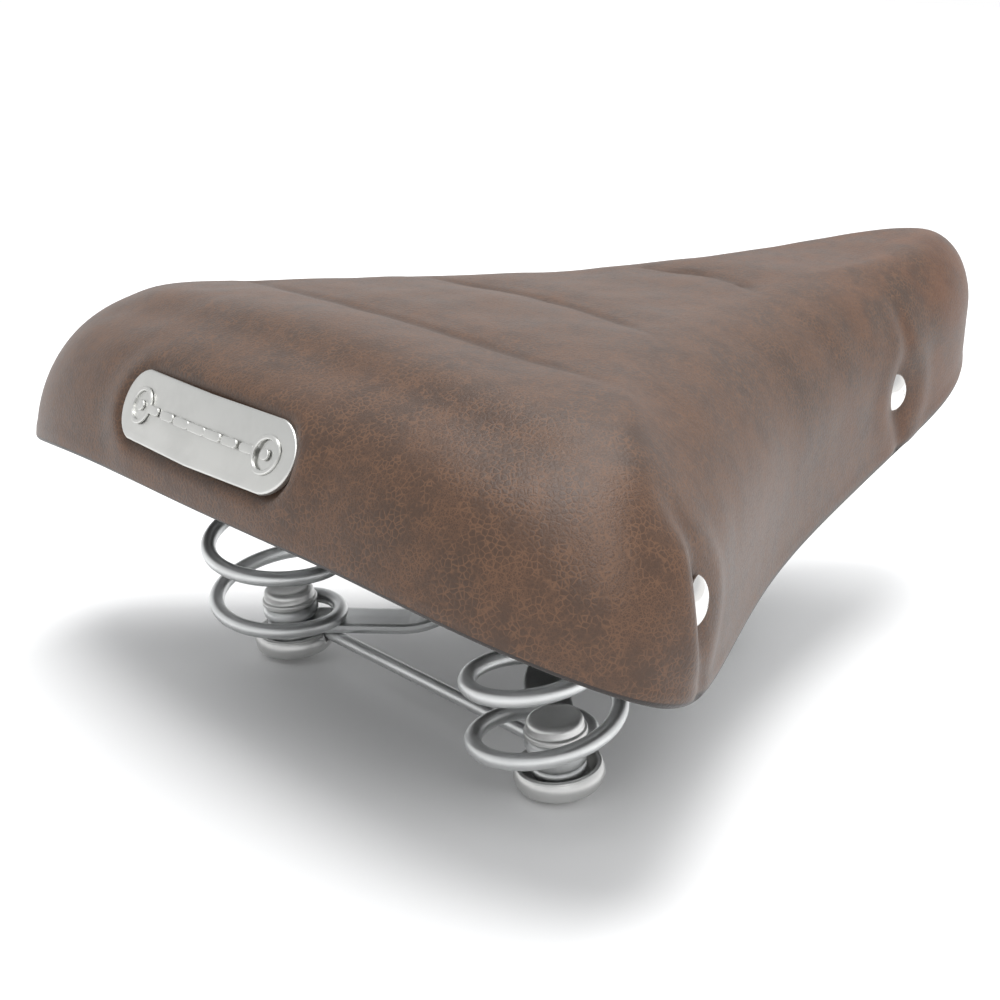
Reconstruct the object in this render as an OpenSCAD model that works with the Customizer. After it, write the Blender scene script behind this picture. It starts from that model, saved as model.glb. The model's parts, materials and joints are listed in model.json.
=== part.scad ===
// Sprung bicycle saddle: padded cover on a moulded pan, two coil springs at the
// rear, a hinged nose, two rails, and a serrated clamp that takes the seat post.
// Millimetres. +X points to the nose, +Y to the left and +Z up. The origin is on
// the axis of the seat-post bore, halfway along it.

/* [Seat] */
// Length from the rear edge to the tip of the nose
saddle_length = 262; // [250:1:275]
// Width across the rear wings
saddle_width = 222; // [205:1:235]
// Thickness of the cover
cover_t = 2.4; // [1.8:0.2:3]
// Gap between the cover, the padding and the pan
soft_gap = 0.6; // [0.4:0.1:0.8]
// Drop of the top surface from the middle to the edge of the wings
crown = 10.5; // [8:0.5:13]

/* [Pan] */
// Height of the pan's underside at the rear edge
pan_z = 66; // [65:0.5:67]
// Slope of the pan, rising towards the nose, in degrees
pan_slope = 2.6; // [2:0.1:3]
// Thickness of the pan
pan_t = 3; // [2.5:0.5:3.5]

/* [Springs] */
// Distance from the rear edge to the feet of the springs
foot_x = 63.9; // [61:0.1:66]
// Distance between the axes of the two springs
spring_spacing = 104.6; // [100:0.2:106]
// Backward lean of the springs, in degrees
spring_lean = 9.5; // [8:0.5:11]
// Diameter of the spring wire
wire_d = 4; // [3.5:0.5:4]
// Diameter of the cross wire
cross_d = 3.4; // [3:0.2:3.4]
// Mean diameter of a coil
coil_d = 33.5; // [30:0.5:34]
// Number of full coils between the end transitions
coil_turns = 2.5; // [2:0.5:3]
// Distance of a coil's axis behind the axis of its eyes
coil_back = 2.5; // [0:0.5:3]

/* [Rails] */
// Diameter of the rail rod
rod_d = 7; // [6.8:0.1:7.2]
// Distance between the rails where the clamp holds them
rail_spacing = 44; // [43:0.5:45]
// Width of the flattened rear end of a rail
strap_w = 11; // [10:0.5:12]
// Thickness of the flattened rear end of a rail
strap_t = 2.6; // [2.4:0.1:2.9]

/* [Clamp] */
// Diameter of the bore that takes the seat post
post_bore_d = 22.3; // [22.2:0.1:22.4]
// Length of the bore
post_bore_l = 28.4; // [26:0.1:29]
// Wall of the post ring
ring_wall = 3; // [2.5:0.5:3.5]
// Diameter of the cross bolt
clamp_bolt_d = 8; // [7:0.5:8]
// Diameter of the serrated cups
cup_d = 26; // [25:0.5:28]

/* [Fasteners] */
// Diameter of the bolts at the springs and of the nose pin
bolt_d = 6; // [5:0.5:6]
// Diameter of the domed rivets on the skirt
rivet_d = 11; // [9:0.5:12]

/* [Hidden] */

$fn = 64;
overlap = 1;
running = 0.05;
side_gap = 0.3;
rail_slack = 0.2;

// Control points of the left half of the outline, from the middle of the rear
// edge to the tip of the nose: [x, y, radius of the shoulder, height of the hem]
half_outline = [
    [0, 0, 38, 64],
    [0, 51, 37.5, 65],
    [5.5, 90, 39.5, 60],
    [28.5, 118.5, 39.5, 49.5],
    [59, 100, 37, 41.5],
    [114, 64, 33.5, 43],
    [162, 45, 28, 48],
    [210, 30, 25, 56],
    [248, 22.5, 23, 67.5],
    [269, 0, 22, 78]
];
// Height of the middle of the top surface at equal steps from rear to nose
spine = [101.5, 102, 102, 101, 103, 105.5, 111];
// Power of the shoulder curve, where 2 would be a circle
shoulder_power = 2.25;
// Point that the rings of the top surface shrink to
seat_middle = [95, 0];
nominal_length = 262;
nominal_width = 222;
// Least height of the straight skirt under the shoulder
least_skirt = 0.5;
outline_steps = 90;
ring_steps = 10;

// Chassis frame: x forward along the rails, z up along the spring axes
spring_y = spring_spacing / 2;
coil_r = coil_d / 2;
wire_r = wire_d / 2;
eye_r = bolt_d / 2 + wire_r + 0.3;
cross_eye_r = (bolt_d + cross_d) / 2 + 0.3;
// Heights of the layers at each foot, from the ground up
boss_h = 4.6;
cross_z = boss_h + cross_d / 2;
strap_z = boss_h + cross_d + strap_t / 2 + 0.05;
spring_low_z = boss_h + cross_d + strap_t + 0.1 + wire_r;
foot_head_z = spring_low_z + wire_r + 0.05;
// Heights of the layers at the top of each spring
bracket_z = 60;
bracket_t = 2.5;
spring_high_z = bracket_z - wire_r - 0.1;
top_washer_z = spring_high_z - wire_r - 1.35;

rod_r = rod_d / 2;
rail_y = rail_spacing / 2;
rail_z = 25;
rail_start = 47;
rail_end = 127;
// Nose hinge, in the chassis frame
pin_u = 170;
pin_z = 30;
eye_y = 6;
eye_t = 4;
ear_y = eye_y + eye_t / 2 + side_gap;
ear_t = 2.5;

// Clamp, in the chassis frame
clamp_u = 72;
clamp_z = rail_z - 9;
ring_u = clamp_u + 22;
ring_low = -10.4;
ring_r = post_bore_d / 2 + ring_wall;
ear_half = ring_r;
cup_in = ear_half + side_gap;
cup_out = 28.5;

// Places of the rivets along the outline, counted in control points
rear_rivet_at = 3.62;
rear_rivet_z = 64;
front_rivet_at = 6.86;
front_rivet_z = 71;

plate_w = 65;
plate_h = 17;
plate_t = 1.5;
plate_lean = 24;
plate_at = [2.1, 0, 81];

// ---------------------------------------------------------------- functions

function unit(v) = v / norm(v);

// A point of the chassis frame, in the level frame of the seat
function from_chassis(p) = [
    foot_x + p.x * cos(spring_lean) - p.z * sin(spring_lean),
    p.y,
    p.x * sin(spring_lean) + p.z * cos(spring_lean)
];
// Middle of the seat-post bore, which becomes the origin
origin = from_chassis([ring_u, 0, ring_low + post_bore_l / 2]);
pin_at = from_chassis([pin_u, 0, pin_z]);

// Closed control polygon: the left half and its mirror image
control = concat(
    half_outline,
    [for (i = [len(half_outline) - 2 : -1 : 1])
        [half_outline[i].x, -half_outline[i].y, half_outline[i][2], half_outline[i][3]]]
);

function basis(f) = [
    pow(1 - f, 3),
    3 * pow(f, 3) - 6 * pow(f, 2) + 4,
    -3 * pow(f, 3) + 3 * pow(f, 2) + 3 * f + 1,
    pow(f, 3)
] / 6;

// One place on the outline: [x, y, radius of the shoulder, height of the hem]
function outline(t) =
    let (m = len(control), i = floor(t), b = basis(t - i))
    let (row = b * [for (k = [-1 : 2]) control[(i + k + m) % m]])
    [row.x * saddle_length / nominal_length, row.y * saddle_width / nominal_width, row[2], row[3]];

// Horizontal unit vector into the saddle, square to the outline
function inward(t) =
    let (d = outline(t + 0.02) - outline(t - 0.02))
    unit([d.y, -d.x]);

function xy(p) = [p.x, p.y];

// Height of the middle line of the top surface, a smooth curve through the spine
function spine_z(x) =
    let (k = len(spine) - 1, u = min(max(x / saddle_length, 0), 1) * k)
    let (i = min(floor(u), k - 1), f = u - i)
    let (b = spine[i], c = spine[i + 1])
    let (a = i > 0 ? spine[i - 1] : 2 * b - c, d = i < k - 1 ? spine[i + 2] : 2 * c - b)
    (2 * b + (c - a) * f + (2 * a - 5 * b + 4 * c - d) * f * f
        + (3 * b - a - 3 * c + d) * pow(f, 3)) / 2;

function top_z(p) = spine_z(p.x) - crown * pow(2 * p.y / saddle_width, 2);

// Drop of the surface at s of the way down the shoulder
function shoulder_drop(r, s) = r * (1 - pow(1 - pow(s, shoulder_power), 1 / shoulder_power));

// How far in from the outline the shoulder is when it has dropped by d
function shoulder_run(r, d) =
    r * (1 - pow(1 - pow(1 - min(d / r, 1), shoulder_power), 1 / shoulder_power));

// Place on a surface that lies at a depth under the cover's outside, for a
// share q of the way from the middle of the seat to the outline
function seat_point(t, q, depth) =
    let (o = outline(t), n = inward(t))
    let (edge = xy(o) + n * depth, reach = abs((edge - seat_middle) * n))
    let (p = seat_middle + q * (edge - seat_middle), r = min(o[2] - depth, reach * 0.98))
    let (s = max(0, 1 - (1 - q) * reach / r))
    [p.x, p.y, max(top_z(p) - depth - shoulder_drop(r, s), o[3] + least_skirt)];

function ring_share(k) = sin(90 * k / ring_steps);
function outline_at(i) = i * len(control) / outline_steps;

function seat_ring(q, depth) = [for (i = [0 : outline_steps - 1]) seat_point(outline_at(i), q, depth)];
function seat_rings(depth) = [for (k = [1 : ring_steps]) seat_ring(ring_share(k), depth)];
function seat_apex(depth) = concat(seat_middle, top_z(seat_middle) - depth);

function hem_ring(depth, lift) = [
    for (i = [0 : outline_steps - 1])
        let (o = outline(outline_at(i)), p = xy(o) + inward(outline_at(i)) * depth)
        [p.x, p.y, o[3] + lift]
];

function pan_low(x) = pan_z + x * tan(pan_slope);
function pan_high(x) = pan_low(x) + pan_t;

// Distance of the pan's upper edge from the outline, clear of the cover
function pan_inset(t) =
    let (o = outline(t), d = top_z(o) - pan_high(o.x) - cover_t)
    cover_t + 2 * soft_gap + shoulder_run(o[2] - cover_t, d);

// Share of the way to the outline at which the padding has come down to a
// height above the pan's underside
function padding_share(t, depth, height) =
    let (o = outline(t), n = inward(t), edge = xy(o) + n * depth)
    let (reach = abs((edge - seat_middle) * n), d = top_z(edge) - depth - pan_low(edge.x) - height)
    1 - shoulder_run(o[2] - depth, max(d, 0)) / reach;

// Ring around the pan's edge on the plane a height above its underside
function pan_ring(inset, height) = [
    for (i = [0 : outline_steps - 1])
        let (t = outline_at(i), o = outline(t), p = xy(o) + inward(t) * (pan_inset(t) + inset))
        [p.x, p.y, pan_low(p.x) + height]
];

function reversed(list) = [for (i = [len(list) - 1 : -1 : 0]) list[i]];

function superellipse(v, corner) = sign(v) * pow(abs(v), corner);

// Ring of points round a wire or bar at one place of its path
function bar_ring(centre, along, half_w, half_h, corner, sides) =
    let (side = unit(cross([0, 0, 1], along)), up = cross(along, side))
    [for (i = [0 : sides - 1])
        let (a = 360 * i / sides)
        centre + side * half_w * superellipse(cos(a), corner) + up * half_h * superellipse(sin(a), corner)];

function direction(path, i) =
    unit(path[min(i + 1, len(path) - 1)] - path[max(i - 1, 0)]);

function smooth(f) = f * f * (3 - 2 * f);
function blend(a, b, f) = a + (b - a) * smooth(min(max(f, 0), 1));

// Circular arc between two bars that meet at a corner, as points
function fillet(a, corner, b, size, steps) =
    [for (i = [0 : steps])
        let (f = i / steps, p = corner + unit(a - corner) * size, q = corner + unit(b - corner) * size)
        pow(1 - f, 2) * p + 2 * f * (1 - f) * corner + f * f * q];

// ------------------------------------------------------------ helper modules

module in_row() {
    translate(-origin) children();
}

module on_chassis() {
    in_row() translate([foot_x, 0, 0]) rotate([0, -spring_lean, 0]) children();
}

module both_sides() {
    children();
    mirror([0, 1, 0]) children();
}

// Closed solid through rings that start and end in a point
module pod(first, rings, last) {
    n = len(rings[0]);
    end = 1 + n * len(rings);
    points = concat([first], [for (r = rings) each r], [last]);
    caps = [for (i = [0 : n - 1])
        let (j = (i + 1) % n)
        each [[0, 1 + i, 1 + j], [end, end - n + j, end - n + i]]];
    sides = [for (k = [0 : len(rings) - 2]) for (i = [0 : n - 1])
        let (a = 1 + k * n + i, b = 1 + k * n + (i + 1) % n)
        each [[a, a + n, b], [b, a + n, b + n]]];
    polyhedron(points, concat(caps, sides));
}

// Bar along rings, with a flat face at each end
module bar(rings) {
    n = len(rings[0]);
    last = (len(rings) - 1) * n;
    points = [for (r = rings) each r];
    ends = [[for (i = [0 : n - 1]) i], [for (i = [n - 1 : -1 : 0]) last + i]];
    sides = [for (k = [0 : len(rings) - 2]) for (i = [0 : n - 1])
        let (a = k * n + i, b = k * n + (i + 1) % n)
        each [[a, a + n, b], [b, a + n, b + n]]];
    polyhedron(points, concat(ends, sides));
}

// Rod along the y axis, from one y to another
module rod_y(d, from, to) {
    translate([0, from, 0]) rotate([-90, 0, 0]) cylinder(d = d, h = to - from);
}

module hex_nut(across_flats, h, hole_d) {
    difference() {
        cylinder(d = across_flats / cos(30), h = h, $fn = 6);
        translate([0, 0, -overlap]) cylinder(d = hole_d, h = h + 2 * overlap);
    }
}

// Low dome over a circle, like the head of a rivet or of a mushroom bolt
module dome(d, h) {
    r = (d * d / 4 + h * h) / (2 * h);
    intersection() {
        translate([0, 0, h - r]) sphere(r);
        cylinder(d = d, h = h);
    }
}

// ---------------------------------------------------------------------- seat

// Puts its children on the skirt, with z pointing out of it
module on_skirt(at, z) {
    o = outline(at);
    n = inward(at);
    translate([o.x, o.y, z]) rotate([0, 0, atan2(-n.y, -n.x)]) rotate([0, 90, 0]) children();
}

module at_rivets() {
    both_sides() {
        on_skirt(rear_rivet_at, rear_rivet_z) children();
        on_skirt(front_rivet_at, front_rivet_z) children();
    }
}

module rivet_holes() {
    at_rivets() {
        translate([0, 0, -9]) cylinder(d = rivet_d * 0.4, h = 12);
        translate([0, 0, -16]) cylinder(d = rivet_d * 0.75, h = 9.2);
    }
}

module cover() {
    color("saddlebrown") in_row() difference() {
        pod(
            seat_apex(0),
            concat(
                seat_rings(0), [hem_ring(0, 0)],
                [hem_ring(cover_t, 0)], reversed(seat_rings(cover_t))
            ),
            seat_apex(cover_t)
        );
        rivet_holes();
    }
}

module padding() {
    depth = cover_t + soft_gap;
    edge_h = pan_t + 1.5;
    rings = [for (k = [1 : ring_steps]) [
        for (i = [0 : outline_steps - 1])
            let (t = outline_at(i), p = seat_point(t, ring_share(k) * padding_share(t, depth, edge_h), depth))
            [p.x, p.y, max(p.z, pan_low(p.x) + edge_h)]
    ]];
    color("khaki") in_row() pod(
        seat_apex(depth),
        concat(rings, [pan_ring(1.5, pan_t + soft_gap)]),
        [seat_middle.x, 0, pan_high(seat_middle.x) + soft_gap]
    );
}

module at_bracket_screws() {
    both_sides() for (u = [-3.5, 8.5]) translate([u, 22, 0]) children();
}

module base_pan() {
    rim_in = cover_t + 2 * soft_gap;
    rim_t = 2.4;
    color("dimgray") in_row() difference() {
        union() {
            pod(
                [seat_middle.x, 0, pan_high(seat_middle.x)],
                [
                    pan_ring(0, pan_t), hem_ring(rim_in, 3),
                    hem_ring(rim_in + rim_t, 3), pan_ring(rim_t, 0)
                ],
                [seat_middle.x, 0, pan_low(seat_middle.x)]
            );
            // Stiffening ribs under the pan
            both_sides() for (y = [16, 34])
                translate([84, y, pan_low(84) - 4]) rotate([0, -pan_slope, 0]) cube([88, 2.2, 5]);
            for (x = [86, 112, 138, 164])
                translate([x, -30, pan_low(x) - 4]) cube([2.2, 60, 5]);
            translate([foot_x, 0, 0]) rotate([0, -spring_lean, 0])
                at_bracket_screws() translate([0, 0, bracket_z + bracket_t]) cylinder(d = 9, h = 7.5);
        }
        translate([foot_x, 0, 0]) rotate([0, -spring_lean, 0])
            at_bracket_screws() translate([0, 0, bracket_z]) cylinder(d = 3.4, h = 8.8);
        rivet_holes();
    }
}

module on_plate() {
    in_row() translate(plate_at) rotate([0, plate_lean - 90, 0]) rotate([0, 0, 90]) children();
}

// Plate with round ends, lying in the xy plane
module round_ended(length, width, h) {
    r = width / 2;
    linear_extrude(h) {
        square([length - width, width], center = true);
        for (side = [-1, 1]) translate([side * (length / 2 - r), 0]) circle(r);
    }
}

module rear_plate() {
    color("lightgray") on_plate() {
        difference() {
            round_ended(plate_w, plate_h, plate_t);
            translate([0, 0, plate_t - 0.4]) round_ended(plate_w - 3, plate_h - 3, 1);
        }
        for (side = [-1, 1]) translate([side * 14, 0, plate_t - 0.5]) round_ended(14, 5, 1);
        translate([0, 0, plate_t - 0.5]) cylinder(d = 9, h = 1);
    }
}

module plate_pins() {
    color("silver") on_plate() for (side = [-1, 1])
        translate([side * 25.5, 0, plate_t - 0.4]) dome(3.2, 0.8);
}

module cover_rivets() {
    color("silver") in_row() at_rivets() {
        translate([0, 0, 0.3]) dome(rivet_d, 2.6);
        translate([0, 0, -7]) cylinder(d = rivet_d * 0.38, h = 8);
        translate([0, 0, -8]) cylinder(d = rivet_d * 0.7, h = 1);
    }
}

module spring_bracket() {
    color("silver") on_chassis() difference() {
        union() {
            translate([-11, -spring_y, bracket_z]) cube([27, 2 * spring_y, bracket_t]);
            both_sides() translate([0, spring_y, bracket_z]) cylinder(r = 11, h = bracket_t);
            both_sides() translate([5, spring_y, bracket_z]) cylinder(r = 11, h = bracket_t);
            for (u = [-11, 16 - bracket_t])
                translate([u, -32, bracket_z - 5]) cube([bracket_t, 64, 6]);
        }
        both_sides() translate([0, spring_y, bracket_z - overlap])
            cylinder(d = bolt_d + 0.4, h = bracket_t + 2 * overlap);
        at_bracket_screws() translate([0, 0, bracket_z - overlap])
            cylinder(d = 4.2, h = bracket_t + 2 * overlap);
        translate([2, 0, bracket_z - overlap]) cylinder(r = 7, h = bracket_t + 2 * overlap);
    }
}

module bracket_screws() {
    color("gray") on_chassis() at_bracket_screws() {
        translate([0, 0, bracket_z - 2.1]) mirror([0, 0, 1]) dome(7.5, 1.8);
        translate([0, 0, bracket_z - 2.1]) cylinder(d = 7.5, h = 2.05);
        translate([0, 0, bracket_z - 1]) cylinder(d = 3.3, h = 8.5);
    }
}

module at_springs() {
    both_sides() translate([0, spring_y, 0]) children();
}

module top_bolts() {
    color("silver") on_chassis() at_springs() {
        translate([0, 0, top_washer_z - 0.1]) mirror([0, 0, 1]) dome(12, 3.5);
        translate([0, 0, top_washer_z - 1]) cylinder(d = bolt_d, h = bracket_z - top_washer_z + 9);
    }
}

module top_washers() {
    color("silver") on_chassis() at_springs() difference() {
        translate([0, 0, top_washer_z]) cylinder(d = 15, h = 1.25);
        translate([0, 0, top_washer_z - overlap]) cylinder(d = bolt_d + 0.4, h = 4);
    }
}

module top_nuts() {
    color("silver") on_chassis() at_springs()
        translate([0, 0, bracket_z + bracket_t + 0.05]) hex_nut(10, 4.4, bolt_d + 0.1);
}

// Bracket folded from sheet: a flange under the pan and two ears on the pin
module nose_bracket() {
    flange_z = pan_low(pin_at.x) - ear_t - 0.1;
    color("silver") in_row() translate([pin_at.x, 0, pin_at.z]) difference() {
        union() {
            translate([0, 0, flange_z - pin_at.z]) rotate([0, -pan_slope, 0])
                translate([-22, -ear_y - ear_t, 0]) cube([40, 2 * (ear_y + ear_t), ear_t]);
            both_sides() {
                translate([0, ear_y, 0]) rod_y(16, 0, ear_t);
                translate([-8, ear_y, 0]) cube([16, ear_t, flange_z - pin_at.z + 1]);
            }
        }
        rod_y(bolt_d + 2 * running, -20, 20);
        for (u = [-17, 13]) translate([u, 0, 0]) cylinder(d = 4.2, h = 40);
    }
}

module nose_screws() {
    color("gray") in_row() for (u = [-17, 13]) {
        x = pin_at.x + u;
        translate([x, 0, pan_low(x) - ear_t - 0.2]) {
            mirror([0, 0, 1]) translate([0, 0, 0.2]) dome(7, 1.8);
            translate([0, 0, -1]) cylinder(d = 3.3, h = ear_t + 1);
        }
    }
}

// -------------------------------------------------------------------- springs

// Path of the left spring about its own axis: an eye, a turn that widens, the
// coils, a turn that narrows, and an eye at the top
spring_angle = 360 + 360 * coil_turns;
rise_start = 142;
rise_power = 1.12;
function spring_point(a) =
    let (open = min(a, spring_angle - a) / 180, r = blend(eye_r, coil_r, open))
    let (run = (a - rise_start) / (spring_angle - 90 - rise_start))
    let (lift = pow(min(max(run, 0), 1), rise_power) * (spring_high_z - spring_low_z))
    [r * cos(a), r * sin(a) - blend(0, coil_back, open), spring_low_z + lift];

module spring_left() {
    eye_turn = 240;
    path = concat(
        [for (a = [-eye_turn : 20 : -20]) [eye_r * cos(a), eye_r * sin(a), spring_low_z]],
        [for (a = [0 : 12 : spring_angle]) spring_point(a)],
        [for (a = [20 : 20 : eye_turn])
            let (b = a + spring_angle) [eye_r * cos(b), eye_r * sin(b), spring_high_z]]
    );
    color("silver") on_chassis() translate([0, spring_y, 0]) rotate([0, 0, 90]) mirror([0, 1, 0])
        bar([for (i = [0 : len(path) - 1])
            bar_ring(path[i], direction(path, i), wire_r, wire_r, 1, 8)]);
}

module spring_right() {
    mirror([0, 1, 0]) spring_left();
}

// Flat bolt head with a rounded edge, on a thin flange
module flanged_head() {
    edge = [for (a = [0 : 18 : 90]) [5.1 + 1.5 * cos(a), 2.8 + 1.5 * sin(a)]];
    rotate_extrude() polygon(concat(
        [[0, 0], [7, 0], [7.3, 0.4], [7.3, 1.1], [7, 1.5], [6.6, 1.6]],
        edge, [[3.6, 4.3], [0, 4]]
    ));
}

module foot_bolts() {
    color("silver") on_chassis() at_springs() {
        translate([0, 0, foot_head_z]) flanged_head();
        translate([0, 0, 1.8]) cylinder(d = bolt_d, h = foot_head_z - 0.8);
    }
}

// Dished nut: a round-bottomed cup with a boss in the middle, and a notch in its
// rim where the cross wire comes out
module cap_nuts() {
    foot_r = 15;
    notch_w = cross_d + 0.6;
    bottom = [for (r = [0 : 1.6 : 8]) [r, foot_r - sqrt(foot_r * foot_r - r * r)]];
    side = [for (a = [-40 : 16 : 40]) [7.6 + 2.9 * cos(a), 4.6 + 3.2 * sin(a)]];
    rim = [for (a = [20 : 35 : 160]) [9.4 + 0.7 * cos(a), 6.7 + 0.7 * sin(a)]];
    dish = [[8.35, 5.6], [7.9, 3.9], [7.3, 2.9], [5.6, 2.6], [5.1, 3]];
    color("silver") on_chassis() at_springs() difference() {
        rotate_extrude() polygon(concat(
            bottom, side, rim, dish, [[5, boss_h - 0.05], [0, boss_h - 0.05]]
        ));
        translate([0, 0, 1.5]) cylinder(d = bolt_d + 0.1, h = boss_h);
        translate([cross_eye_r - notch_w / 2, -12, boss_h - 0.2]) cube([notch_w, 8, 4]);
    }
}

module cross_wire() {
    color("silver") on_chassis() translate([0, 0, cross_z]) {
        both_sides() translate([0, spring_y, 0])
            rotate_extrude() translate([cross_eye_r, 0]) circle(cross_d / 2);
        translate([cross_eye_r, 0, 0]) rod_y(cross_d, -spring_y, spring_y);
    }
}

// ---------------------------------------------------------------------- rails

module rail_left() {
    eye = [0, spring_y, strap_z];
    strap_end = [23.5, 21.5, strap_z];
    low = [rail_start, rail_y, rail_z];
    high = [rail_end, rail_y, rail_z];
    nose = [pin_u - 13, eye_y, pin_z];
    rear_path = concat(
        [eye + unit(strap_end - eye) * 6],
        fillet(eye, strap_end, low, 8, 8),
        fillet(strap_end, low, high, 9, 6)
    );
    front_path = concat(
        fillet(low, high, nose, 9, 6),
        fillet(high, nose, [pin_u, eye_y, pin_z], 4.5, 4),
        [[pin_u - 4, eye_y, pin_z]]
    );
    eye_d = 13;
    color("silver") on_chassis() difference() {
        union() {
            translate(eye - [0, 0, strap_t / 2]) cylinder(d = strap_w + 2, h = strap_t);
            bar([for (i = [0 : len(rear_path) - 1])
                let (f = (rear_path[i].x - 24) / 18)
                bar_ring(rear_path[i], direction(rear_path, i), blend(strap_w / 2, rod_r, f),
                    blend(strap_t / 2, rod_r, f), blend(0.25, 1, f), 16)]);
            translate(low + [3, 0, 0]) rotate([0, 90, 0]) cylinder(d = rod_d, h = rail_end - rail_start - 6);
            bar([for (i = [0 : len(front_path) - 1])
                let (f = (front_path[i].x - pin_u + 30) / 17)
                bar_ring(front_path[i], direction(front_path, i), blend(rod_r, eye_t / 2, f),
                    blend(rod_r, 4.5, f), blend(1, 0.4, f), 16)]);
            translate([pin_u, 0, pin_z]) rod_y(eye_d, eye_y - eye_t / 2, eye_y + eye_t / 2);
        }
        translate(eye - [0, 0, strap_t]) cylinder(d = bolt_d + 0.4, h = 2 * strap_t);
        translate([pin_u, 0, pin_z]) rod_y(bolt_d + 0.1, 0, 20);
    }
}

module rail_right() {
    mirror([0, 1, 0]) rail_left();
}

module at_pin() {
    in_row() translate(pin_at) children();
}

module nose_pin() {
    head_y = -(ear_y + ear_t + side_gap);
    color("silver") at_pin() {
        rod_y(bolt_d, head_y - 1, 17);
        translate([0, head_y, 0]) rotate([90, 0, 0]) dome(12, 3.6);
    }
}

module nose_nut() {
    color("silver") at_pin() translate([0, ear_y + ear_t + side_gap, 0]) rotate([-90, 0, 0])
        hex_nut(10, 5, bolt_d + 0.1);
}

module nose_spacer() {
    half = eye_y - eye_t / 2 - 0.1;
    color("gray") at_pin() difference() {
        rod_y(10, -half, half);
        rod_y(bolt_d + 0.1, -20, 20);
    }
}

// ---------------------------------------------------------------------- clamp

module at_clamp() {
    on_chassis() translate([clamp_u, 0, clamp_z]) children();
}

// Disc with fine teeth round its rim, on the y axis
module serrated_disc(d, from, to) {
    teeth = 40;
    translate([0, to, 0]) rotate([90, 0, 0]) linear_extrude(to - from) polygon([
        for (i = [0 : 2 * teeth - 1])
            let (r = d / 2 - (i % 2) * 0.7, a = 180 * i / teeth)
            r * [cos(a), sin(a)]
    ]);
}

// Groove for the rail, which runs along x above the bolt
module rail_groove() {
    translate([-cup_d, rail_y, rail_z - clamp_z]) rotate([0, 90, 0])
        cylinder(d = rod_d + 2 * rail_slack, h = 2 * cup_d);
}

module bolt_hole() {
    rod_y(clamp_bolt_d + 0.2, -60, 60);
}

module inner_cup_left() {
    split = rail_y - 0.1;
    color("silver") at_clamp() difference() {
        union() {
            serrated_disc(cup_d, cup_in, cup_in + 3);
            rod_y(cup_d - 3, cup_in + 2, split);
        }
        rail_groove();
        bolt_hole();
    }
}

module inner_cup_right() {
    mirror([0, 1, 0]) inner_cup_left();
}

module outer_cup_left() {
    color("silver") at_clamp() difference() {
        union() {
            rod_y(cup_d - 3, rail_y + 0.1, cup_out - 2);
            rod_y(cup_d - 9, rail_y + 0.1, cup_out);
        }
        rail_groove();
        bolt_hole();
    }
}

module outer_cup_right() {
    mirror([0, 1, 0]) outer_cup_left();
}

// Band round the seat post, split at the back, with toothed ears on the cross bolt
module post_ring() {
    slot = 5;
    post_z = ring_low - clamp_z;
    post_u = ring_u - clamp_u;
    color("silver") at_clamp() difference() {
        union() {
            translate([post_u, 0, post_z]) cylinder(r = ring_r, h = post_bore_l);
            translate([0, -9, -10]) cube([post_u, 18, 14]);
            rod_y(20, -ear_half, ear_half);
            both_sides() serrated_disc(cup_d - 5, ear_half - 3, ear_half);
        }
        translate([post_u, 0, post_z - overlap]) cylinder(d = post_bore_d, h = post_bore_l + 2 * overlap);
        translate([-30, -slot / 2, -50]) cube([30 + post_u, slot, 100]);
        bolt_hole();
    }
}

module clamp_bolt() {
    color("silver") at_clamp() rod_y(clamp_bolt_d, -38.5, 38.5);
}

module clamp_washers() {
    color("silver") at_clamp() both_sides() difference() {
        rod_y(18, cup_out + 0.1, cup_out + 1.7);
        bolt_hole();
    }
}

module clamp_nuts() {
    color("silver") at_clamp() both_sides() translate([0, cup_out + 1.75, 0]) rotate([-90, 0, 0])
        hex_nut(13, 6.5, clamp_bolt_d + 0.1);
}

// -------------------------------------------------------------------- the whole

cover();
padding();
base_pan();
rear_plate();
plate_pins();
cover_rivets();
spring_bracket();
bracket_screws();
top_bolts();
top_washers();
top_nuts();
nose_bracket();
nose_screws();
nose_pin();
nose_nut();
nose_spacer();
spring_left();
spring_right();
foot_bolts();
cap_nuts();
cross_wire();
rail_left();
rail_right();
inner_cup_left();
inner_cup_right();
outer_cup_left();
outer_cup_right();
post_ring();
clamp_bolt();
clamp_washers();
clamp_nuts();
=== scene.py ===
"""Looks of a sprung bicycle saddle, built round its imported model."""

import json
import logging
import math
from dataclasses import dataclass
from enum import Enum

import bmesh
import bpy
import numpy as np
from mathutils import Matrix, Vector, noise


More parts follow.
